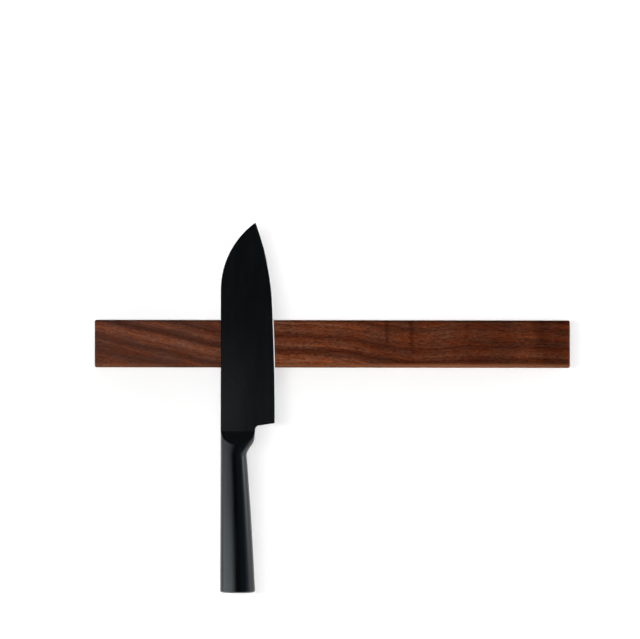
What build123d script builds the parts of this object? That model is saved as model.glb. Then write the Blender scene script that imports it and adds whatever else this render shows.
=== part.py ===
# Walnut magnetic knife bar for a wall, holding one black santoku knife.
# Sizes are in millimetres. +X runs along the bar, +Z is up and the viewer stands on the -Y side.
# The origin is the centre of the bar's back, where it meets the wall.
from build123d import *

import math
import os

os.makedirs("parts", exist_ok=True)

# Bar
bar_length = 300.0
bar_height = 30.0
bar_depth = 20.0
bar_edge_round = 1.2

# Groove routed into the back of the bar
face_wall = 2.5
rail_wall = 5.0
end_wall = 12.0
groove_corner_radius = 3.0

# Magnets in a row behind the front wall, and the steel keeper behind them
magnet_length = 20.0
magnet_thickness = 5.0
magnet_gap = 2.5
magnet_side_clearance = 0.8
magnet_chamfer = 0.4
keeper_thickness = 1.5
keeper_clearance = 0.25

# Wooden strip that closes the groove
strip_clearance = 0.1

# Keyhole plates let into the strip: a screw head enters the round hole, then the bar drops onto the slot
keyhole_end_distance = 50.0
plate_length = 34.0
plate_margin = 0.9
plate_thickness = 1.5
plate_corner_radius = 2.0
plate_clearance = 0.1
entry_radius = 4.0
slot_radius = 2.0
keyhole_travel = 5.0
head_pocket_depth = 5.0

# Countersunk screws that hold the plates
screw_spacing = 24.0
screw_head_radius = 2.6
screw_head_angle = 90.0
screw_shank_radius = 1.3
screw_length = 6.0
screw_point_length = 1.5
screw_clearance = 0.05
recess_length = 2.8
recess_width = 0.7
recess_depth = 0.9

# Where the knife hangs on the bar
knife_from_bar_end = 79.65
heel_below_bar_centre = 50.0
contact_clearance = 0.05

# Blade: drops are measured down from the tip, setbacks from the edge at the heel towards the spine
blade_length = 126.5
blade_height = 34.55
spine_thickness = 1.8
edge_thickness = 0.4
edge_angle = 17.0
spine_drop = 42.5
tip_setback = 12.8
tip_turn_drop = 21.3
tip_turn_setback = 6.2
belly_drop = 49.5
belly_setback = 1.9
heel_drop = 1.8
choil_radius = 2.8
collar_run = 3.4

# Tang inside the handle
tang_width = 9.0
tang_thickness = 1.0
tang_length = 40.0
tang_from_spine = 3.6
tang_clearance = 0.1

# Handle, from the crease under the blade down to the butt
collar_width = 21.7
collar_foot_width = 21.3
neck_width = 16.5
butt_width = 22.1
butt_past_spine = 0.2
crease_thickness = 12.2
butt_thickness = 15.6
face_half_angle = 25.0
grip_swell = 0.26
collar_length = 4.8
flare_length = 10.5
grip_length = 86.0
bolster_length = 8.4
handle_wall = 1.2
cavity_below_neck = 5.0

# Cap that closes the handle
cap_thickness = 2.9
cap_edge = 0.6
spigot_length = 5.0
spigot_clearance = 0.1

# Steps that shape the handle, largest share of a side that a corner takes, room past the work for cuts
flare_steps = 6
grip_steps = 8
corner_share = 0.48
cut_margin = 10.0
wedge_margin = 2.0

# Sizes that follow from those above
groove_length = bar_length - 2 * end_wall
groove_height = bar_height - 2 * rail_wall
groove_depth = bar_depth - face_wall
strip_thickness = groove_depth - magnet_thickness - keeper_thickness
magnet_height = groove_height - 2 * magnet_side_clearance
magnet_pitch = magnet_length + magnet_gap
magnet_count = int(groove_length // magnet_pitch)
plate_height = groove_height - 2 * plate_margin
keyhole_spacing = bar_length - 2 * keyhole_end_distance
crease_drop = heel_drop + collar_run
neck_drop = collar_length + flare_length
butt_drop = neck_drop + grip_length
shell_drop = butt_drop - cap_thickness
cavity_drop = neck_drop + cavity_below_neck

# Points of the blade, from the spine and up from the heel
heel = (blade_height, 0)
belly = (blade_height - belly_setback, blade_length - belly_drop)
tip_turn = (blade_height - tip_turn_setback, blade_length - tip_turn_drop)
tip = (blade_height - tip_setback, blade_length)
spine_top = (0, blade_length - spine_drop)
collar_corner = (collar_width, -crease_drop)

# The blade thins evenly from spine to edge, so the knife leans by half that wedge to lie flat on the bar
wedge_slope = (spine_thickness - edge_thickness) / 2 / blade_height
knife_lean = math.atan(wedge_slope)
knife_origin = Vector(
    knife_from_bar_end - bar_length / 2,
    -bar_depth - contact_clearance - spine_thickness / 2 * math.cos(knife_lean),
    -heel_below_bar_centre,
)

# Planes: groove depths seen from the front, and the knife's middle plane with x to the edge and y to the tip
front_plane = Plane.XZ
keeper_plane = front_plane.offset(strip_thickness)
magnet_plane = keeper_plane.offset(keeper_thickness)
knife_plane = Plane(
    knife_origin,
    x_dir=(math.cos(knife_lean), math.sin(knife_lean), 0),
    z_dir=(math.sin(knife_lean), -math.cos(knife_lean), 0),
)


def save(piece, name):
    """Label a finished piece and write it to its own file."""
    piece.part.label = name
    export_step(piece.part, f"parts/{name}.step")


def rounded_rectangle(width, height, radius):
    """A rounded rectangle whose corner radius leaves a little of each straight side."""
    RectangleRounded(width, height, min(radius, corner_share * min(width, height)))


def wall_face(x):
    """The plane of the bar's back at a distance along the bar, facing the wall."""
    return Plane((x, 0, 0), x_dir=(1, 0, 0), z_dir=(0, 1, 0))


def half_thickness(from_spine):
    """Half the blade's thickness at a distance from the spine."""
    return spine_thickness / 2 - wedge_slope * from_spine


def knife_section(height):
    """The plane across the knife at a height above the heel, with x from spine to edge."""
    centre = knife_plane.from_local_coords((0, height, 0))
    return Plane(centre, x_dir=knife_plane.x_dir, z_dir=knife_plane.y_dir)


def edge_region(depth, inset):
    """All that lies behind the cutting edge, at a depth off the knife's middle plane, less an inset."""
    past_tip = Vector(*tip) + cutting_edge.edges()[-1] % 1 * cut_margin
    far = -cut_margin
    bottom = -crease_drop - cut_margin
    with BuildSketch(knife_plane.offset(depth)) as region:
        with BuildLine():
            add(cutting_edge.line)
            Polyline(tip, past_tip, (far, past_tip.Y), (far, bottom), (blade_height, bottom), heel)
        make_face()
        if inset > 0:
            offset(amount=-inset)
    return region.sketch


def handle_width(drop):
    """Width of the handle at a distance below the crease: collar, S-shaped flare, then widening grip."""
    collar_slope = (collar_foot_width - collar_width) / collar_length
    neck_slope = (butt_width - neck_width) * (1 + grip_swell) / grip_length
    if drop <= collar_length:
        return collar_width + collar_slope * drop
    if drop >= neck_drop:
        share = (drop - neck_drop) / grip_length
        return neck_width + (butt_width - neck_width) * share * (1 + grip_swell * (1 - share))
    share = (drop - collar_length) / flare_length
    narrowing = (neck_width - collar_foot_width) * share**2 * (3 - 2 * share)
    easing = flare_length * share * (1 - share) * ((1 - share) * collar_slope - share * neck_slope)
    return collar_foot_width + narrowing + easing


def handle_thickness(drop):
    """Thickness of the handle at a distance below the crease."""
    return crease_thickness + (butt_thickness - crease_thickness) * drop / butt_drop


def handle_outline(drop, inset=0.0):
    """Cross-section of the handle at a distance below the crease, less an inset: an oval of four arcs.

    The arcs turn through the same angles at every section, so the surfaces between sections have no twist.
    """
    middle = handle_width(drop) / 2 - butt_past_spine * drop / butt_drop
    half_width = handle_width(drop) / 2 - inset
    half_depth = handle_thickness(drop) / 2 - inset
    sine = math.sin(math.radians(face_half_angle))
    cosine = math.cos(math.radians(face_half_angle))
    side_radius = (half_depth * sine - half_width * (1 - cosine)) / (sine + cosine - 1)
    join_x = half_width - side_radius * (1 - sine)
    join_y = side_radius * cosine
    with BuildSketch(knife_section(-crease_drop - drop)) as outline:
        with BuildLine():
            ThreePointArc((middle - join_x, join_y), (middle, half_depth), (middle + join_x, join_y))
            ThreePointArc((middle + join_x, join_y), (middle + half_width, 0), (middle + join_x, -join_y))
            ThreePointArc((middle + join_x, -join_y), (middle, -half_depth), (middle - join_x, -join_y))
            ThreePointArc((middle - join_x, -join_y), (middle - half_width, 0), (middle - join_x, join_y))
        make_face()
    return outline.sketch


def handle_run(start, end, steps=1, inset=0.0, ruled=True, mode=Mode.ADD):
    """A length of the handle between two distances below the crease, shaped by evenly spaced sections."""
    step = (end - start) / steps
    outlines = [handle_outline(start + number * step, inset) for number in range(steps + 1)]
    loft(outlines, ruled=ruled, mode=mode)


def bolster_plane(side):
    """The slope from the blade's side at the crease out to the handle's full thickness, facing outwards."""
    middle = collar_width / 2
    rise = handle_thickness(bolster_length) / 2 - half_thickness(middle)
    start = knife_plane.from_local_coords((middle, -crease_drop, side * half_thickness(middle)))
    across = knife_plane.x_dir * wedge_slope * bolster_length
    along = knife_plane.y_dir * rise
    outwards = knife_plane.z_dir * side * bolster_length
    return Plane(start, z_dir=across + along + outwards)


# Walnut bar
with BuildPart() as walnut_bar:
    with BuildSketch(front_plane):
        Rectangle(bar_length, bar_height)
    extrude(amount=bar_depth)
    front_edges = walnut_bar.faces().sort_by(Axis.Y)[0].edges()
    corner_edges = walnut_bar.edges().filter_by(Axis.Y)
    fillet(front_edges + corner_edges, radius=bar_edge_round)
    with BuildSketch(front_plane):
        rounded_rectangle(groove_length, groove_height, groove_corner_radius)
    extrude(amount=groove_depth, mode=Mode.SUBTRACT)
save(walnut_bar, "walnut_bar")

# Magnets
for number in range(magnet_count):
    magnet_x = (number - (magnet_count - 1) / 2) * magnet_pitch
    with BuildPart() as magnet:
        with BuildSketch(magnet_plane):
            with Locations((magnet_x, 0)):
                Rectangle(magnet_length, magnet_height)
        extrude(amount=magnet_thickness)
        chamfer(magnet.edges().filter_by(Axis.Y), length=magnet_chamfer)
    save(magnet, f"magnet_{number + 1:02d}")

# Steel keeper
with BuildPart() as steel_keeper:
    with BuildSketch(keeper_plane):
        rounded_rectangle(
            groove_length - 2 * keeper_clearance, groove_height - 2 * keeper_clearance, groove_corner_radius
        )
    extrude(amount=keeper_thickness)
save(steel_keeper, "steel_keeper")

# Back strip, with a recess for each plate and a pocket for each wall screw's head
with BuildPart() as back_strip:
    with BuildSketch(front_plane):
        rounded_rectangle(
            groove_length - 2 * strip_clearance, groove_height - 2 * strip_clearance, groove_corner_radius
        )
    extrude(amount=strip_thickness)
    with BuildSketch(front_plane):
        with GridLocations(keyhole_spacing, 0, 2, 1):
            rounded_rectangle(
                plate_length + 2 * plate_clearance, plate_height + 2 * plate_clearance, plate_corner_radius
            )
    extrude(amount=plate_thickness, mode=Mode.SUBTRACT)
    with BuildSketch(front_plane.offset(plate_thickness)):
        with GridLocations(keyhole_spacing, 0, 2, 1):
            SlotCenterToCenter(keyhole_travel, 2 * entry_radius, rotation=90)
    extrude(amount=head_pocket_depth, mode=Mode.SUBTRACT)
    with Locations(wall_face(0)):
        with GridLocations(keyhole_spacing, 0, 2, 1):
            with GridLocations(screw_spacing, 0, 2, 1):
                CounterSinkHole(
                    radius=screw_shank_radius + screw_clearance,
                    counter_sink_radius=screw_head_radius + screw_clearance,
                    depth=screw_length + screw_clearance,
                    counter_sink_angle=screw_head_angle,
                )
save(back_strip, "back_strip")

# Keyhole plates
for side, plate_name in ((-1, "keyhole_plate_left"), (1, "keyhole_plate_right")):
    plate_x = side * keyhole_spacing / 2
    with BuildPart() as plate:
        with BuildSketch(front_plane):
            with Locations((plate_x, 0)):
                rounded_rectangle(plate_length, plate_height, plate_corner_radius)
                SlotCenterToCenter(keyhole_travel, 2 * slot_radius, rotation=90, mode=Mode.SUBTRACT)
            with Locations((plate_x, -keyhole_travel / 2)):
                Circle(entry_radius, mode=Mode.SUBTRACT)
        extrude(amount=plate_thickness)
        with Locations(wall_face(plate_x)):
            with GridLocations(screw_spacing, 0, 2, 1):
                CounterSinkHole(
                    radius=screw_shank_radius + screw_clearance,
                    counter_sink_radius=screw_head_radius + screw_clearance,
                    counter_sink_angle=screw_head_angle,
                )
    save(plate, plate_name)

# Screws of the plates, four solids in one node
with BuildPart() as keyhole_plate_screws:
    head_depth = (screw_head_radius - screw_shank_radius) / math.tan(math.radians(screw_head_angle / 2))
    for plate_side in (-1, 1):
        for screw_side in (-1, 1):
            screw_x = plate_side * keyhole_spacing / 2 + screw_side * screw_spacing / 2
            with BuildSketch(Plane((screw_x, 0, 0))):
                with BuildLine():
                    Polyline(
                        (0, 0),
                        (screw_head_radius, 0),
                        (screw_shank_radius, -head_depth),
                        (screw_shank_radius, screw_point_length - screw_length),
                        (0, -screw_length),
                        close=True,
                    )
                make_face()
            revolve(axis=Axis((screw_x, 0, 0), (0, 1, 0)))
            with BuildSketch(wall_face(screw_x)):
                Rectangle(recess_length, recess_width)
                Rectangle(recess_width, recess_length)
            extrude(amount=-recess_depth, mode=Mode.SUBTRACT)
save(keyhole_plate_screws, "keyhole_plate_screws")

# Cutting edge: three tangent arcs from the heel to the tip
with BuildLine() as cutting_edge:
    heel_arc = TangentArc(heel, belly, tangent=(0, 1))
    belly_arc = TangentArc(belly, tip_turn, tangent=heel_arc % 1)
    TangentArc(tip_turn, tip, tangent=belly_arc % 1)

# Envelope of the two ground bevels that meet in the cutting edge
with BuildPart() as edge_envelope:
    bevel_reach = spine_thickness / math.tan(math.radians(edge_angle))
    for side in (-1, 1):
        loft([edge_region(0, 0), edge_region(side * spine_thickness, bevel_reach)], ruled=True)

# Blade: outline, then the wedge from spine to edge, then the bevels, and last the thinner tang
with BuildPart() as blade:
    with BuildSketch(knife_plane):
        with BuildLine():
            add(cutting_edge.line)
            TangentArc(spine_top, tip, tangent=(0, 1))
            Polyline(spine_top, (0, -crease_drop), collar_corner)
            FilletPolyline(collar_corner, (collar_width, -heel_drop), heel, radius=choil_radius)
        make_face()
    extrude(amount=spine_thickness, both=True)
    with BuildSketch(knife_section(-crease_drop - cut_margin)):
        with BuildLine():
            past_spine = -wedge_margin
            past_edge = blade_height + wedge_margin
            Polyline(
                (past_spine, half_thickness(past_spine)),
                (past_edge, half_thickness(past_edge)),
                (past_edge, -half_thickness(past_edge)),
                (past_spine, -half_thickness(past_spine)),
                close=True,
            )
        make_face()
    extrude(amount=blade_length + crease_drop + 2 * cut_margin, mode=Mode.INTERSECT)
    add(edge_envelope.part, mode=Mode.INTERSECT)
    with BuildSketch(knife_plane):
        with Locations((tang_from_spine, -crease_drop)):
            Rectangle(tang_width, tang_length, align=(Align.MIN, Align.MAX))
    extrude(amount=tang_thickness / 2, both=True)
save(blade, "blade")

# Handle: collar, flare and grip, sloped down to the blade's thickness at the bolster, hollow below the neck
with BuildPart() as handle_shell:
    handle_run(0, collar_length)
    handle_run(collar_length, neck_drop, flare_steps, ruled=False)
    handle_run(neck_drop, shell_drop, grip_steps)
    for side in (-1, 1):
        split(bisect_by=bolster_plane(side), keep=Keep.BOTTOM)
    handle_run(cavity_drop, shell_drop, grip_steps, inset=handle_wall, mode=Mode.SUBTRACT)
    with BuildSketch(knife_section(-crease_drop)):
        with Locations((tang_from_spine + tang_width / 2, 0)):
            Rectangle(tang_width + 2 * tang_clearance, tang_thickness + 2 * tang_clearance)
    extrude(amount=-cavity_drop - handle_wall, mode=Mode.SUBTRACT)
save(handle_shell, "handle_shell")

# Butt cap: a flange in line with the handle and a spigot inside it
with BuildPart() as butt_cap:
    handle_run(shell_drop, butt_drop)
    chamfer(butt_cap.faces().sort_by(Axis.Z)[0].edges(), length=cap_edge)
    handle_run(shell_drop - spigot_length, shell_drop, inset=handle_wall + spigot_clearance)
save(butt_cap, "butt_cap")
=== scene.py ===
# Looks of the walnut magnetic knife bar with one black knife.
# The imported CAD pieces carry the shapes; this script gives them their finishes, the light and the camera.
import math

import bpy
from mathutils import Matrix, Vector

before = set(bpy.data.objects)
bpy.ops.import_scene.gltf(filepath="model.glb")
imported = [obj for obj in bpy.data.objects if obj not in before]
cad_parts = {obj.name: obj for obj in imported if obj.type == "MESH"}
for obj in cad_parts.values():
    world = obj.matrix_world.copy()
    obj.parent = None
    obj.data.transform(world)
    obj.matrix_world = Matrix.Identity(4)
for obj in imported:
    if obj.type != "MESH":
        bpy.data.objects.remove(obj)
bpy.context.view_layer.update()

# The stage is in metres, and the materials measure in millimetres
MILLIMETRES = 1000.0


def reach(name, axis):
    """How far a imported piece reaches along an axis, as (low, high) in millimetres."""
    places = [vertex.co[axis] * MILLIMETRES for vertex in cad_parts[name].data.vertices]
    return min(places), max(places)


def linear(red, green, blue):
    """A colour as a screen shows it, 0 to 255, in the linear values that shaders take."""
    shares = [value / 255 for value in (red, green, blue)]
    return (*[s / 12.92 if s <= 0.04045 else ((s + 0.055) / 1.055) ** 2.4 for s in shares], 1.0)


# Camera, placed square to the bar as in the photograph (metres and degrees)
CAMERA_PLACE = (-0.0078, -1.62, 0.0154)
CAMERA_ROLL = 0.085
FIELD_WIDTH = 0.4039
FIELD_DISTANCE = 1.6
SENSOR_WIDTH = 36.0
NEAREST_SEEN = 0.05
FARTHEST_SEEN = 50.0

# Stage: wall behind the bar and floor below it; a lift is the glow that shows the pale paint as white.
# Noises, here and below, are given as features per millimetre along each direction, detail and roughness
WALL_GAP = 0.0004
WALL_SIZE = 3.0
WALL_LIFT = 0.21
FLOOR_SIZE = 40.0
FLOOR_HEIGHT = -1.10
FLOOR_LIFT = 0.80
PAINT_SHADES = (0.86, 0.88)
PAINT_CLOUDS = ((0.004, 0.004, 0.004), 2.0, 0.5)

# Room light from all sides, and the room's shade where it is seen directly
ROOM_FILL = 0.20
ROOM_SHADE = 0.95

# Lamps and sheets stand around the knife, at bearings in degrees to the right of the view from the front
KNIFE_PLACE = (-0.06, -0.03)

# Lamps on the surfaces: bearing, distance, height, size, and the level that they give a white surface.
# The front lamp stands at the camera, so that its shadows hide behind the object
SURFACE_LAMPS = {
    "front": (1.9, 1.59, CAMERA_PLACE[2], (0.05, 0.05), 0.42),
    "left": (-17.0, 1.3, 0.0, (0.70, 0.10), 0.28),
    "right": (78.0, 1.5, 0.2, (0.60, 0.60), 0.30),
    "top": (10.0, 0.5, 1.2, (0.80, 0.30), 0.25),
}
BACK_LAMP_PLACE = (0.0, 1.6, 0.5)
BACK_LAMP_SIZE = (1.4, 1.0)
BACK_LAMP_POWER = 15.0

# Panels that show in the reflections only
SHINE_DISTANCE = 1.1
SHINE_COLOUR = (0.90, 1.0, 1.06)

# Window among them, to the left: bearings of its parts, and brightness above and below the sill
WINDOW_PARTS = [
    (-88.0, -67.0, 1.25, 2.60), (-67.0, -46.0, 1.25, 2.60), (-46.0, -38.0, 1.10, 2.50),
    (-38.0, -32.0, 0.98, 2.40), (-32.0, -27.0, 0.83, 2.15), (-27.0, -22.0, 0.70, 1.95),
    (-22.0, -17.0, 0.55, 1.55), (-17.0, -12.0, 0.36, 0.95), (-12.0, -8.0, 0.19, 0.46),
    (-8.0, -4.0, 0.08, 0.18),
]
WINDOW_TOP = 0.75
WINDOW_SILL = -0.185
WINDOW_BOTTOM = -1.05

# Strip among them, to the right: rows as (low, high, parts), parts as (start, end, brightness)
STRIP_ROWS = [
    (-0.085, 0.70, [(57.0, 62.0, 1.2), (62.0, 68.0, 2.6), (68.0, 80.0, 2.6), (80.0, 88.0, 2.2)]),
    (-0.147, -0.085, [(42.0, 54.0, 0.55), (54.0, 66.0, 1.8), (66.0, 88.0, 1.9)]),
    (-0.36, -0.147, [(42.0, 54.0, 0.38)]),
    (-0.90, -0.147, [(54.0, 66.0, 0.85), (66.0, 78.0, 1.2), (78.0, 88.0, 1.55)]),
]

# Dark sheets that close the room in the reflections: cards around the knife, and a ceiling
CARD_DISTANCE = 1.2
CARD_BEARINGS = range(-88, 89, 22)
CARD_BOTTOM = -1.05
CARD_TINT = (0.75, 0.95, 1.2, 1.0)
CARD_GLOW = (0.0, 0.10)
CEILING_HEIGHT = 1.0
CEILING_CORNERS = ((-1.3, -1.3), (1.3, -1.3), (1.3, -0.02), (-1.3, -0.02))
CEILING_TINT = (1.0, 0.95, 0.95, 1.0)
CEILING_GLOW = (0.06, 0.07)
GLOW_WIDTH = 450.0

# Places on the object that the finishes follow (millimetres)
BAR_FRONT = reach("walnut_bar", 1)[0]
BAR_BOTTOM, BAR_TOP = reach("walnut_bar", 2)
HANDLE_END = reach("butt_cap", 2)[0]

# Cutting edge from the front, as (x, z): it bends evenly from the heel, and more past the belly
EDGE_HEEL = (-35.8, -50.0)
EDGE_BELLY = (-37.7, 27.0)
EDGE_TIP_TURN = (-42.0, 55.2)
HEEL_BEND = (EDGE_HEEL[0] - EDGE_BELLY[0]) / (EDGE_BELLY[1] - EDGE_HEEL[1]) ** 2
TIP_TURN_SETBACK = EDGE_HEEL[0] - HEEL_BEND * (EDGE_TIP_TURN[1] - EDGE_HEEL[1]) ** 2 - EDGE_TIP_TURN[0]
BELLY_BEND = TIP_TURN_SETBACK / (EDGE_TIP_TURN[1] - EDGE_BELLY[1]) ** 2

# Values between which most of a noise lies
NOISE_SPAN = (0.3, 0.7)

# Black coating of the knife: its grain, and faint wipe marks along the knife that change its roughness
COATING_GRAIN = ((9.0, 9.0, 9.0), 3.0, 0.6)
COATING_BUMP = (0.25, 0.000004)
GRAIN_CONTRAST = 1.5
WIPE_MARKS = ((0.35, 0.35, 0.05), 3.0, 0.6)
WIPED_SMOOTHER = 0.04
WIPED_ROUGHER = 0.05

# Blade, with a painted sheen that lightens it towards the heel and the spine. Fades, here and below, are
# start, end, low and high
BLADE_BLACK = linear(7.1, 8.7, 10)
BLADE_GLOSS = 0.30
BLADE_ROUGHNESS = 0.22
HEEL_PAINTED_SHEEN = linear(26, 28, 29)
SHEEN_HEEL_FADE = (24.0, -48.0)
SHEEN_SPINE_FADE = (-45.0, -70.0, 0.34, 1.0)

# Bare steel of the cutting edge: how far the bevel faces the front, and where on it the steel ends. The
# steel is real; its near-white colour is a painted reflection
BEVEL_FACING = (0.88, 0.92)
SIDE_FACING = (0.968, 0.985, 1.0, 0.0)
BARE_WIDTH_FADE = (0.56, 0.44)
BARE_TIP_FADE = (60.0, 45.0)
BARE_STEEL_PAINTED_SHINE = (linear(236, 237, 238), linear(252, 252, 252))
BARE_METAL = 0.25
BARE_ROUGHNESS = 0.45
GRINDING_MARKS = ((3.0, 3.0, 14.0), 2.0, 0.6)

# Handle, and the painted highlight on the rim around its end: the last half millimetre, without the face
# that looks down
HANDLE_BLACK = linear(3.5, 5, 6)
HANDLE_GLOSS = 0.50
HANDLE_ROUGHNESS = 0.17
RIM_PAINTED_HIGHLIGHT = linear(124, 126, 126)
RIM_FADE = (HANDLE_END + 0.8, HANDLE_END + 0.4)
RIM_FACING = (-0.96, -0.88)
RIM_HIGHLIGHT_SHARE = 0.85

# Walnut: its middle colour, its colours at the grey left end and in the pores, and its painted shade and
# painted light on the bar's long edges
WOOD_COLOUR = linear(85, 43, 25)
WOOD_GLOSS = 0.05
WOOD_BUMP = (0.35, 0.00004)
WOOD_ROUGHNESS = (0.2, 0.8, 0.44, 0.34)
GREY_END_FADE = (-20.0, -110.0)
GREYING = (0.98, 1.20, 1.62, 1.0)
GREY_WOOD = linear(84, 46, 32)
GREY_SHARE = 0.25
PORE_COLOUR = linear(38, 18, 11)
PORE_FADE = (0.60, 0.70)
PORE_SHARE = 0.55
UPPER_EDGE_PAINTED_SHADE = (0.0, 0.0, 0.0, 1.0)
UPPER_EDGE_FADE = (BAR_TOP - 1.9, BAR_TOP - 0.7, 0.0, 0.36)
LOWER_EDGE_PAINTED_LIGHT = linear(136, 86, 58)
LOWER_EDGE_FADE = (BAR_BOTTOM + 3.4, BAR_BOTTOM + 0.6)

# Grain of the walnut, as noise along the bar and across its rings
STREAKS = ((0.012, 0.55, 0.55), 4.0, 0.6)
FLECKS = ((0.16, 0.9, 0.9), 3.0, 0.6)
FIBRES = ((0.05, 2.6, 2.6), 3.0, 0.6)
DASHES = ((0.42, 1.9, 1.9), 2.0, 0.6)
PORES = ((0.16, 2.2, 2.2), 2.0, 0.6)
HUE_DRIFT = ((0.05, 0.22, 0.22), 2.0, 0.55)
FIBRE_WEIGHT = 0.6
DASH_WEIGHT = 1.4
FIBRE_HEIGHT = 0.5
GRAIN_FADE = (1.53, 2.47, 0.45, 1.6)

# For red, green and blue: slope of the channel over the tone, the same at the grey end, and its drift
HUE_SLOPES = ((1.0, 1.0, -0.09), (1.24, 1.0, 0.10), (1.34, 0.9, 0.33))

# Rings of the walnut: height of the main dark ring along the bar's front, and how it wanders
RING_PATH = [
    (-150.0, 17.0), (-121.0, 10.2), (-95.0, 4.6), (-70.0, -1.0), (-35.0, -3.8), (-6.0, -4.8), (12.0, -6.2),
    (26.0, -9.2), (36.0, -10.6), (52.0, -12.2), (86.0, -10.4), (107.0, -10.8), (150.0, -12.0),
]
RING_SLOPE = 0.9
RING_WANDER = [((0.016, 0.09, 0.09), 2.0, 0.5, 3.0), ((0.07, 0.25, 0.25), 2.0, 0.5, 1.6)]

# Distance of each ring from the main one, and its redness on a scale of 255.
# The rings calm down to the right
RINGS = [
    (-38.0, 78), (-29.0, 94), (-24.0, 84), (-20.5, 66), (-17.0, 70), (-14.6, 86), (-12.0, 64), (-9.0, 88),
    (-5.6, 110), (-3.1, 100), (-1.5, 68), (0.0, 54), (1.6, 68), (3.2, 98), (5.2, 88), (7.4, 78), (8.7, 58),
    (10.2, 76), (14.0, 88), (17.5, 94), (21.0, 70), (23.2, 86), (25.2, 62), (27.5, 74), (30.0, 82),
]
RING_MEAN = linear(85, 85, 85)[0]
CALM_FADE = (-80.0, 60.0, 0.0, 0.38)

# Broad shading along the bar, painted light along its lower rounding, and bands of cross figure as (centre,
# reach)
BROAD_TONE = [
    (-150.0, 0.97), (-60.0, 1.0), (-15.0, 1.14), (25.0, 0.92), (45.0, 0.90), (64.0, 0.99), (78.0, 0.95),
    (93.0, 0.74), (110.0, 0.76), (125.0, 0.96), (134.0, 0.76), (142.0, 0.66), (150.0, 1.00),
]
LOWER_EDGE_LIGHT_ALONG = [
    (-150.0, 0.40), (-112.0, 0.32), (-85.0, 0.15), (-20.0, 0.50), (10.0, 0.50), (43.0, 0.85), (74.0, 1.0),
    (106.0, 0.85), (150.0, 0.70),
]
CROSS_BANDS = [(34.5, 2.2), (50.0, 2.6), (131.0, 7.0)]
CROSS_FADE = (4.0, 14.0, 0.08, 0.36)

# Zinc on the hangers, keeper and screws, and nickel on the magnets
ZINC_SHADES = (linear(168, 171, 176), linear(204, 206, 208))
ZINC_LINES = ((0.05, 5.0, 5.0), 3.0, 0.6)
ZINC_CLOUDS = ((0.25, 0.25, 0.25), 4.0, 0.6)
ZINC_ROUGHNESS = (0.7, 1.3, 0.28, 0.46)
ZINC_BUMP = (0.15, 0.00004)
NICKEL_SHADES = (linear(190, 184, 174), linear(216, 211, 202))
NICKEL_PEEL = ((1.6, 1.6, 1.6), 3.0, 0.55)
NICKEL_SPOTS = ((0.3, 0.3, 0.3), 4.0, 0.65)
NICKEL_ROUGHNESS = (0.14, 0.30)
NICKEL_BUMP = (0.1, 0.00005)


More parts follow.
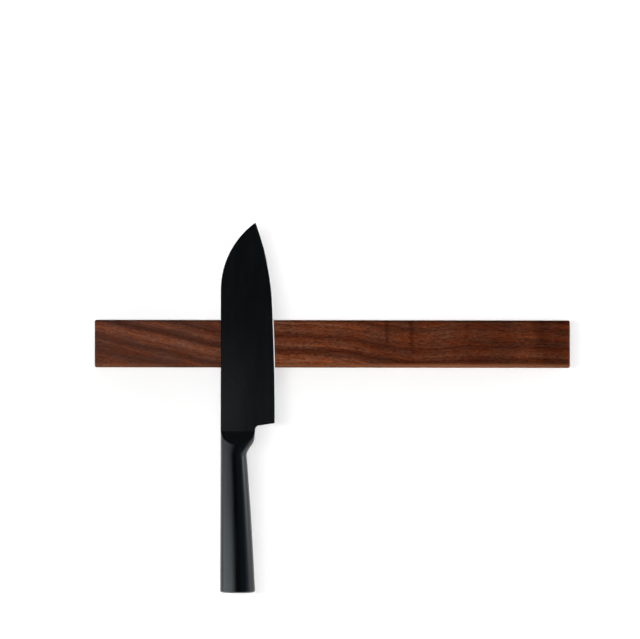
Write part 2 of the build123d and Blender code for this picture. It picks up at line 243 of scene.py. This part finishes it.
class Shader:
    """The nodes of one material or world, and short ways to add to them."""

    def __init__(self, owner):
        self.owner = owner
        owner.use_nodes = True
        self.tree = owner.node_tree
        self.tree.nodes.clear()

    def feed(self, socket, value):
        """Link a socket to another one, or set its value."""
        if isinstance(value, bpy.types.NodeSocket):
            self.tree.links.new(value, socket)
        else:
            socket.default_value = value

    def add(self, kind, inputs=(), **settings):
        """A node of a kind, with its settings and inputs."""
        node = self.tree.nodes.new("ShaderNode" + kind)
        for name, value in settings.items():
            setattr(node, name, value)
        for name, value in dict(inputs).items():
            self.feed(node.inputs[name], value)
        return node

    def maths(self, operation, first, second=0.0):
        """One step of arithmetic."""
        return self.add("Math", {0: first, 1: second}, operation=operation).outputs[0]

    def fade(self, value, start, end, low=0.0, high=1.0):
        """Goes smoothly from low to high while a value goes from start to end."""
        limits = {"Value": value, "From Min": start, "From Max": end, "To Min": low, "To Max": high}
        return self.add("MapRange", limits, interpolation_type="SMOOTHSTEP").outputs[0]

    def mix(self, share, first, second, blend="MIX"):
        """Two colours mixed by a share."""
        node = self.add("Mix", {0: share, 6: first, 7: second}, data_type="RGBA", blend_type=blend)
        return node.outputs[2]

    def ramp(self, value, stops):
        """A colour that eases through a list of (position, colour) stops."""
        node = self.add("ValToRGB", {"Fac": value})
        node.color_ramp.interpolation = "EASE"
        elements = node.color_ramp.elements
        while len(elements) < len(stops):
            elements.new(1.0)
        for element, (position, colour) in zip(elements, stops):
            element.position = position
            element.color = colour
        return node.outputs["Color"]

    def curve(self, value, points):
        """A smooth curve through (value, result) points."""
        inputs, results = zip(*points)
        low, high = min(results), max(results)
        share = self.add("MapRange", {"Value": value, "From Min": inputs[0], "From Max": inputs[-1]})
        node = self.add("FloatCurve", {"Value": share.outputs[0]})
        line = node.mapping.curves[0]
        while len(line.points) < len(points):
            line.points.new(0.5, 0.5)
        for spot, (at, result) in zip(line.points, points):
            spot.location = ((at - inputs[0]) / (inputs[-1] - inputs[0]), (result - low) / (high - low))
        node.mapping.update()
        back = {"Value": node.outputs[0], "To Min": low, "To Max": high}
        return self.add("MapRange", back).outputs[0]

    def place(self):
        """The place on the piece in millimetres, as (x, y, z)."""
        coordinates = self.add("TexCoord").outputs["Object"]
        scaled = self.add("VectorMath", {0: coordinates, "Scale": MILLIMETRES}, operation="SCALE")
        return self.add("SeparateXYZ", {0: scaled.outputs[0]}).outputs[:3]

    def turn(self):
        """The direction that the piece's surface faces, as (x, y, z)."""
        normal = self.add("TexCoord").outputs["Normal"]
        return self.add("SeparateXYZ", {0: normal}).outputs[:3]

    def seen(self):
        """One where the camera looks at a surface, into a reflection or through glass, else zero."""
        rays = self.add("LightPath").outputs
        seen = self.maths("MAXIMUM", rays["Is Camera Ray"], rays["Is Glossy Ray"])
        return self.maths("MAXIMUM", seen, rays["Is Transmission Ray"])

    def noise(self, place, stretch, detail, roughness):
        """Noise over a place, with its features per millimetre along each direction."""
        spread = [self.maths("MULTIPLY", value, share) for value, share in zip(place, stretch)]
        vector = self.add("CombineXYZ", dict(enumerate(spread))).outputs[0]
        settings = {"Vector": vector, "Scale": 1.0, "Detail": detail, "Roughness": roughness}
        return self.add("TexNoise", settings).outputs[0]

    def bump(self, height, strength, distance):
        """A surface normal from a height."""
        settings = {"Height": height, "Strength": strength, "Distance": distance}
        return self.add("Bump", settings).outputs[0]

    def close(self, surface, kind="Material"):
        """Close the material or world with what its surface shows."""
        self.add("Output" + kind, {"Surface": surface})
        return self.owner

    def finish(self, **inputs):
        """Close the material with one principled shader."""
        named = {}
        for name, value in inputs.items():
            named[name.replace("_", " ").title().replace("Ior", "IOR")] = value
        return self.close(self.add("BsdfPrincipled", named).outputs[0])


def wood_ring(shader, x, z, depth):
    """How far a place in the wood lies from the main dark ring (millimetres)."""
    ring = shader.maths("ADD", shader.maths("SUBTRACT", z, shader.curve(x, RING_PATH)), depth)
    for *noise, swing in RING_WANDER:
        wander = shader.noise((x, ring, depth), *noise)
        wander = shader.maths("MULTIPLY", shader.maths("SUBTRACT", wander, 0.5), swing)
        ring = shader.maths("ADD", ring, wander)
    return ring


def wood_tone(shader, along_grain, fibres):
    """Lightness of the wood around one: rings, streaks of every width, broad shading and cross figure."""
    x, ring, _ = along_grain
    first, last = RINGS[0][0], RINGS[-1][0]
    share = shader.add("MapRange", {"Value": ring, "From Min": first, "From Max": last}).outputs[0]
    stops = [((at - first) / (last - first), linear(red, red, red)) for at, red in RINGS]
    tone = shader.maths("DIVIDE", shader.ramp(share, stops), RING_MEAN)
    calm = shader.fade(x, *CALM_FADE)
    tone = shader.maths("ADD", shader.maths("MULTIPLY", tone, shader.maths("SUBTRACT", 1.0, calm)), calm)

    grain = shader.maths("ADD", shader.noise(along_grain, *STREAKS), shader.noise(along_grain, *FLECKS))
    for part, weight in ((fibres, FIBRE_WEIGHT), (shader.noise(along_grain, *DASHES), DASH_WEIGHT)):
        grain = shader.maths("ADD", grain, shader.maths("MULTIPLY", part, weight))
    tone = shader.maths("MULTIPLY", tone, shader.fade(grain, *GRAIN_FADE))
    tone = shader.maths("MULTIPLY", tone, shader.curve(x, BROAD_TONE))

    # Cross figure: narrow bands across the grain where the fibres dip, darker than the rest
    for centre, band_reach in CROSS_BANDS:
        off = shader.maths("ABSOLUTE", shader.maths("SUBTRACT", x, centre))
        dip = shader.maths("MULTIPLY", shader.fade(off, band_reach, 0.0), shader.fade(ring, *CROSS_FADE))
        tone = shader.maths("MULTIPLY", tone, shader.maths("SUBTRACT", 1.0, dip))
    return tone


def wood_colour(shader, along_grain, tone):
    """Walnut's colour at a tone: dark wood is redder, the left end greyer, and the hue drifts a little."""
    grey_end = shader.fade(along_grain[0], *GREY_END_FADE)
    drift = shader.noise(along_grain, *HUE_DRIFT)
    channels = {}
    for channel, (slope, end_slope, swing) in enumerate(HUE_SLOPES):
        level = shader.maths("POWER", tone, shader.fade(grey_end, 0.0, 1.0, slope, end_slope))
        level = shader.maths("MULTIPLY", level, shader.fade(drift, *NOISE_SPAN, 1.0 - swing, 1.0 + swing))
        channels[channel] = shader.maths("MULTIPLY", level, WOOD_COLOUR[channel])
    colour = shader.add("CombineColor", channels).outputs[0]
    colour = shader.mix(grey_end, colour, GREYING, "MULTIPLY")
    return shader.mix(shader.maths("MULTIPLY", grey_end, GREY_SHARE), colour, GREY_WOOD)


def walnut():
    """Oiled walnut: rings along the board's figure, streaks, cross figure, fibres and open pores."""
    shader = Shader(bpy.data.materials.new("walnut_oiled"))
    x, y, z = shader.place()
    depth = shader.maths("MULTIPLY", shader.maths("SUBTRACT", y, BAR_FRONT), RING_SLOPE)
    along_grain = (x, wood_ring(shader, x, z, depth), depth)
    fibres = shader.noise(along_grain, *FIBRES)
    colour = wood_colour(shader, along_grain, wood_tone(shader, along_grain, fibres))

    # Painted shade darkens the upper rounding, and painted light lightens the lower one, most of all to the
    # right of the middle
    colour = shader.mix(shader.fade(z, *UPPER_EDGE_FADE), colour, UPPER_EDGE_PAINTED_SHADE)
    # Painted light: the lower rounding is mixed lighter, as if lit from below
    rubbed_spots_and_painted_light = shader.maths("MULTIPLY", shader.fade(z, *LOWER_EDGE_FADE), shader.curve(x, LOWER_EDGE_LIGHT_ALONG))
    colour = shader.mix(rubbed_spots_and_painted_light, colour, LOWER_EDGE_PAINTED_LIGHT)

    # Open pores, as short dark dashes along the grain
    pores = shader.fade(shader.noise(along_grain, *PORES), *PORE_FADE)
    colour = shader.mix(shader.maths("MULTIPLY", pores, PORE_SHARE), colour, PORE_COLOUR)

    height = shader.maths("SUBTRACT", shader.maths("MULTIPLY", fibres, FIBRE_HEIGHT), pores)
    return shader.finish(
        base_color=colour,
        roughness=shader.fade(fibres, *WOOD_ROUGHNESS),
        specular_ior_level=WOOD_GLOSS,
        normal=shader.bump(height, *WOOD_BUMP),
    )


def coating(shader, place, black, roughness):
    """Shade, roughness and grain of a matt black coating on steel, with faint wipe marks."""
    grain = shader.noise(place, *COATING_GRAIN)
    wipes = shader.noise(place, *WIPE_MARKS)
    lighter = (*[value * GRAIN_CONTRAST for value in black[:3]], 1.0)
    shade = shader.mix(shader.fade(grain, *NOISE_SPAN), black, lighter)
    wiped = shader.fade(wipes, *NOISE_SPAN, roughness - WIPED_SMOOTHER, roughness + WIPED_ROUGHER)
    return shade, wiped, grain


def ground_edge(shader, x, z):
    """Share of bare steel: one on the outer part of the bevel, up to where it ends near the tip."""
    facing = shader.maths("ABSOLUTE", shader.turn()[1])
    bevel = shader.maths("MULTIPLY", shader.fade(facing, *BEVEL_FACING), shader.fade(facing, *SIDE_FACING))
    bevel = shader.maths("MULTIPLY", bevel, shader.fade(z, *BARE_TIP_FADE))
    edge_line = EDGE_HEEL[0]
    for foot, bend in ((EDGE_HEEL[1], HEEL_BEND), (EDGE_BELLY[1], BELLY_BEND)):
        past = shader.maths("MAXIMUM", shader.maths("SUBTRACT", z, foot), 0.0)
        setback = shader.maths("MULTIPLY", shader.maths("MULTIPLY", past, past), bend)
        edge_line = shader.maths("SUBTRACT", edge_line, setback)
    from_edge = shader.maths("SUBTRACT", edge_line, x)
    return shader.maths("MULTIPLY", bevel, shader.fade(from_edge, *BARE_WIDTH_FADE))


def black_blade():
    """Black coated blade with a painted sheen towards the heel, and a cutting edge of bare ground steel
    whose near-white colour is a painted reflection.
    """
    shader = Shader(bpy.data.materials.new("black_blade_coating"))
    place = shader.place()
    x, _, z = place
    shade, roughness, grain = coating(shader, place, BLADE_BLACK, BLADE_ROUGHNESS)
    # Painted sheen: the black is mixed towards a lighter grey near the heel and the spine
    painted_heel_sheen = shader.maths("MULTIPLY", shader.fade(z, *SHEEN_HEEL_FADE), shader.fade(x, *SHEEN_SPINE_FADE))
    shade = shader.mix(painted_heel_sheen, shade, HEEL_PAINTED_SHEEN)
    bare = ground_edge(shader, x, z)
    grinding = shader.noise(place, *GRINDING_MARKS)
    # The bare steel is real; its near-white, nearly matt colour is a painted reflection of the bright steel
    return shader.finish(
        base_color=shader.mix(bare, shade, shader.mix(grinding, *BARE_STEEL_PAINTED_SHINE)),
        metallic=shader.fade(bare, 0.0, 1.0, 0.0, BARE_METAL),
        roughness=shader.fade(bare, 0.0, 1.0, roughness, BARE_ROUGHNESS),
        specular_ior_level=BLADE_GLOSS,
        normal=shader.bump(shader.mix(bare, grain, grinding), *COATING_BUMP),
    )


def black_handle():
    """Black coated handle, with a painted highlight on the bevelled rim of its end."""
    shader = Shader(bpy.data.materials.new("black_handle_coating"))
    place = shader.place()
    shade, roughness, grain = coating(shader, place, HANDLE_BLACK, HANDLE_ROUGHNESS)
    # Painted highlight: the bevelled rim at the end is mixed towards pale grey
    end = shader.fade(place[2], *RIM_FADE)
    rim_highlight = shader.maths("MULTIPLY", end, shader.fade(shader.turn()[2], *RIM_FACING))
    return shader.finish(
        base_color=shader.mix(shader.maths("MULTIPLY", rim_highlight, RIM_HIGHLIGHT_SHARE), shade, RIM_PAINTED_HIGHLIGHT),
        roughness=roughness,
        specular_ior_level=HANDLE_GLOSS,
        normal=shader.bump(grain, *COATING_BUMP),
    )


def zinc_steel():
    """Zinc-plated steel: rolling lines along the bar and cloudy patches."""
    shader = Shader(bpy.data.materials.new("zinc_plated_steel"))
    place = shader.place()
    lines = shader.noise(place, *ZINC_LINES)
    clouds = shader.noise(place, *ZINC_CLOUDS)
    return shader.finish(
        base_color=shader.mix(clouds, *ZINC_SHADES),
        metallic=1.0,
        roughness=shader.fade(shader.maths("ADD", lines, clouds), *ZINC_ROUGHNESS),
        normal=shader.bump(lines, *ZINC_BUMP),
    )


def nickel():
    """Nickel-plated magnet: bright plating with faint orange-peel and rubbed spots."""
    shader = Shader(bpy.data.materials.new("nickel_plating"))
    place = shader.place()
    peel = shader.noise(place, *NICKEL_PEEL)
    rubbed_spots_and_painted_light = shader.noise(place, *NICKEL_SPOTS)
    return shader.finish(
        base_color=shader.mix(rubbed_spots_and_painted_light, *NICKEL_SHADES),
        metallic=1.0,
        roughness=shader.fade(rubbed_spots_and_painted_light, *NOISE_SPAN, *NICKEL_ROUGHNESS),
        normal=shader.bump(peel, *NICKEL_BUMP),
    )


def pale_paint(name, lift, one_sided):
    """Pale paint that takes the object's shadow and shows near white to the camera and in reflections."""
    shader = Shader(bpy.data.materials.new(name))
    tint = shader.noise(shader.place(), *PAINT_CLOUDS)
    colour = shader.mix(tint, *[(shade, shade, shade, 1.0) for shade in PAINT_SHADES])
    paint = shader.add("BsdfDiffuse", {"Color": colour}).outputs[0]
    glow = shader.add("Emission", {"Strength": shader.maths("MULTIPLY", shader.seen(), lift)}).outputs[0]
    surface = shader.add("AddShader", {0: paint, 1: glow}).outputs[0]
    if one_sided:
        back = shader.add("NewGeometry").outputs["Backfacing"]
        clear = shader.add("BsdfTransparent").outputs[0]
        surface = shader.add("MixShader", {0: back, 1: surface, 2: clear}).outputs[0]
    return shader.close(surface)


def dark_room(name, tint, near, far):
    """The dark part of the room in reflections, a little lighter to the right."""
    shader = Shader(bpy.data.materials.new(name))
    glow = shader.fade(shader.place()[0], 0.0, GLOW_WIDTH, near, far)
    return shader.close(shader.add("Emission", {"Color": tint, "Strength": glow}).outputs[0])


def around_knife(bearing, distance, height):
    """A place around the knife, at a bearing and distance from it and a height."""
    angle = math.radians(bearing)
    x, y = KNIFE_PLACE
    return Vector((x + distance * math.sin(angle), y - distance * math.cos(angle), height))


def square(size):
    """Corners of a square around the origin, counted round."""
    half = size / 2
    return (-half, -half), (half, -half), (half, half), (-half, half)


def stage_sheet(name, corners, material):
    """A flat sheet of the stage through four corners."""
    mesh = bpy.data.meshes.new(name)
    mesh.from_pydata(corners, [], [(0, 1, 2, 3)])
    mesh.materials.append(material)
    sheet = bpy.data.objects.new(name, mesh)
    bpy.context.scene.collection.objects.link(sheet)
    return sheet


def area_lamp(name, place, target, width, height, power):
    """A rectangular soft lamp that the camera doesn't see."""
    light = bpy.data.lights.new(name, "AREA")
    light.shape = "RECTANGLE"
    light.size = width
    light.size_y = height
    light.energy = power
    lamp = bpy.data.objects.new(name, light)
    lamp.location = place
    lamp.rotation_euler = (Vector(target) - Vector(place)).to_track_quat("-Z", "Y").to_euler()
    lamp.visible_camera = False
    bpy.context.scene.collection.objects.link(lamp)
    return lamp


def surface_lamp(name, bearing, distance, height, size, level):
    """A lamp that lights surfaces; a white one that faces it from the knife shows the given level."""
    place = around_knife(bearing, distance, height)
    target = Vector((*KNIFE_PLACE, 0.0))
    power = level * (math.pi * (place - target).length) ** 2
    lamp = area_lamp(name, place, target, *size, power)
    lamp.visible_glossy = False


def shine_panel(name, start, end, low, high, brightness):
    """A panel of a given brightness between two bearings and two heights, seen in reflections only."""
    middle = (low + high) / 2
    place = around_knife((start + end) / 2, SHINE_DISTANCE, middle)
    width = 2 * SHINE_DISTANCE * math.tan(math.radians((end - start) / 2))
    power = brightness * math.pi * width * (high - low)
    lamp = area_lamp(name, place, (*KNIFE_PLACE, middle), width, high - low, power)
    lamp.data.color = SHINE_COLOUR
    lamp.visible_diffuse = False


# Finishes
finishes = {
    "walnut": walnut(),
    "black_blade": black_blade(),
    "black_handle": black_handle(),
    "zinc_steel": zinc_steel(),
    "nickel_magnet": nickel(),
}
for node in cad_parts.values():
    for slot in node.material_slots:
        slot.material = finishes[slot.material.name]

# Wall and floor
wall_corners = [(x, WALL_GAP, z) for x, z in square(WALL_SIZE)]
wall = stage_sheet("wall", wall_corners, pale_paint("wall_paint", WALL_LIFT, one_sided=True))
wall.visible_shadow = False
wall.visible_diffuse = False
floor_corners = [(x, y, FLOOR_HEIGHT) for x, y in square(FLOOR_SIZE)]
stage_sheet("floor", floor_corners, pale_paint("floor_paint", FLOOR_LIFT, one_sided=False))

# Dark sheets, seen in reflections only
card_room = dark_room("dark_card_room", CARD_TINT, *CARD_GLOW)
ceiling_room = dark_room("dark_ceiling_room", CEILING_TINT, *CEILING_GLOW)
ceiling = [(x, y, CEILING_HEIGHT) for x, y in CEILING_CORNERS]
dark_sheets = [stage_sheet("dark_ceiling", ceiling, ceiling_room)]
for start, end in zip(CARD_BEARINGS, CARD_BEARINGS[1:]):
    bottom = [around_knife(bearing, CARD_DISTANCE, CARD_BOTTOM) for bearing in (start, end)]
    top = [around_knife(bearing, CARD_DISTANCE, CEILING_HEIGHT) for bearing in (end, start)]
    dark_sheets.append(stage_sheet(f"dark_card_{start}", bottom + top, card_room))
for sheet in dark_sheets:
    sheet.visible_camera = False
    sheet.visible_diffuse = False
    sheet.visible_shadow = False

# Light on the surfaces, and from behind for the bar's back
for name, settings in SURFACE_LAMPS.items():
    surface_lamp(name, *settings)
area_lamp("back", BACK_LAMP_PLACE, (0.0, 0.0, 0.0), *BACK_LAMP_SIZE, BACK_LAMP_POWER)

# Light in the reflections: a window to the left that fades towards the camera, and a strip to the right
for number, (start, end, upper, lower) in enumerate(WINDOW_PARTS):
    shine_panel(f"window_top_{number}", start, end, WINDOW_SILL, WINDOW_TOP, upper)
    shine_panel(f"window_bottom_{number}", start, end, WINDOW_BOTTOM, WINDOW_SILL, lower)
strip_parts = [(start, end, low, high, glow) for low, high, row in STRIP_ROWS for start, end, glow in row]
for number, part in enumerate(strip_parts):
    shine_panel(f"strip_{number}", *part)

# Room around the stage: a weak fill, near white where it is seen directly
world = bpy.data.worlds.new("room")
bpy.context.scene.world = world
room = Shader(world)
strength = room.add("MapRange", {"Value": room.seen(), "To Min": ROOM_FILL, "To Max": 1.0}).outputs[0]
shade = (ROOM_SHADE, ROOM_SHADE, ROOM_SHADE, 1.0)
room.close(room.add("Background", {"Color": shade, "Strength": strength}).outputs[0], "World")

# Camera
lens = bpy.data.cameras.new("photo_camera")
lens.sensor_width = SENSOR_WIDTH
lens.lens = SENSOR_WIDTH * FIELD_DISTANCE / FIELD_WIDTH
lens.clip_start = NEAREST_SEEN
lens.clip_end = FARTHEST_SEEN
camera = bpy.data.objects.new("photo_camera", lens)
camera.location = CAMERA_PLACE
camera.rotation_euler = (math.radians(90.0), math.radians(-CAMERA_ROLL), 0.0)
bpy.context.scene.collection.objects.link(camera)
bpy.context.scene.camera = camera
bpy.context.scene.view_settings.view_transform = "Standard"
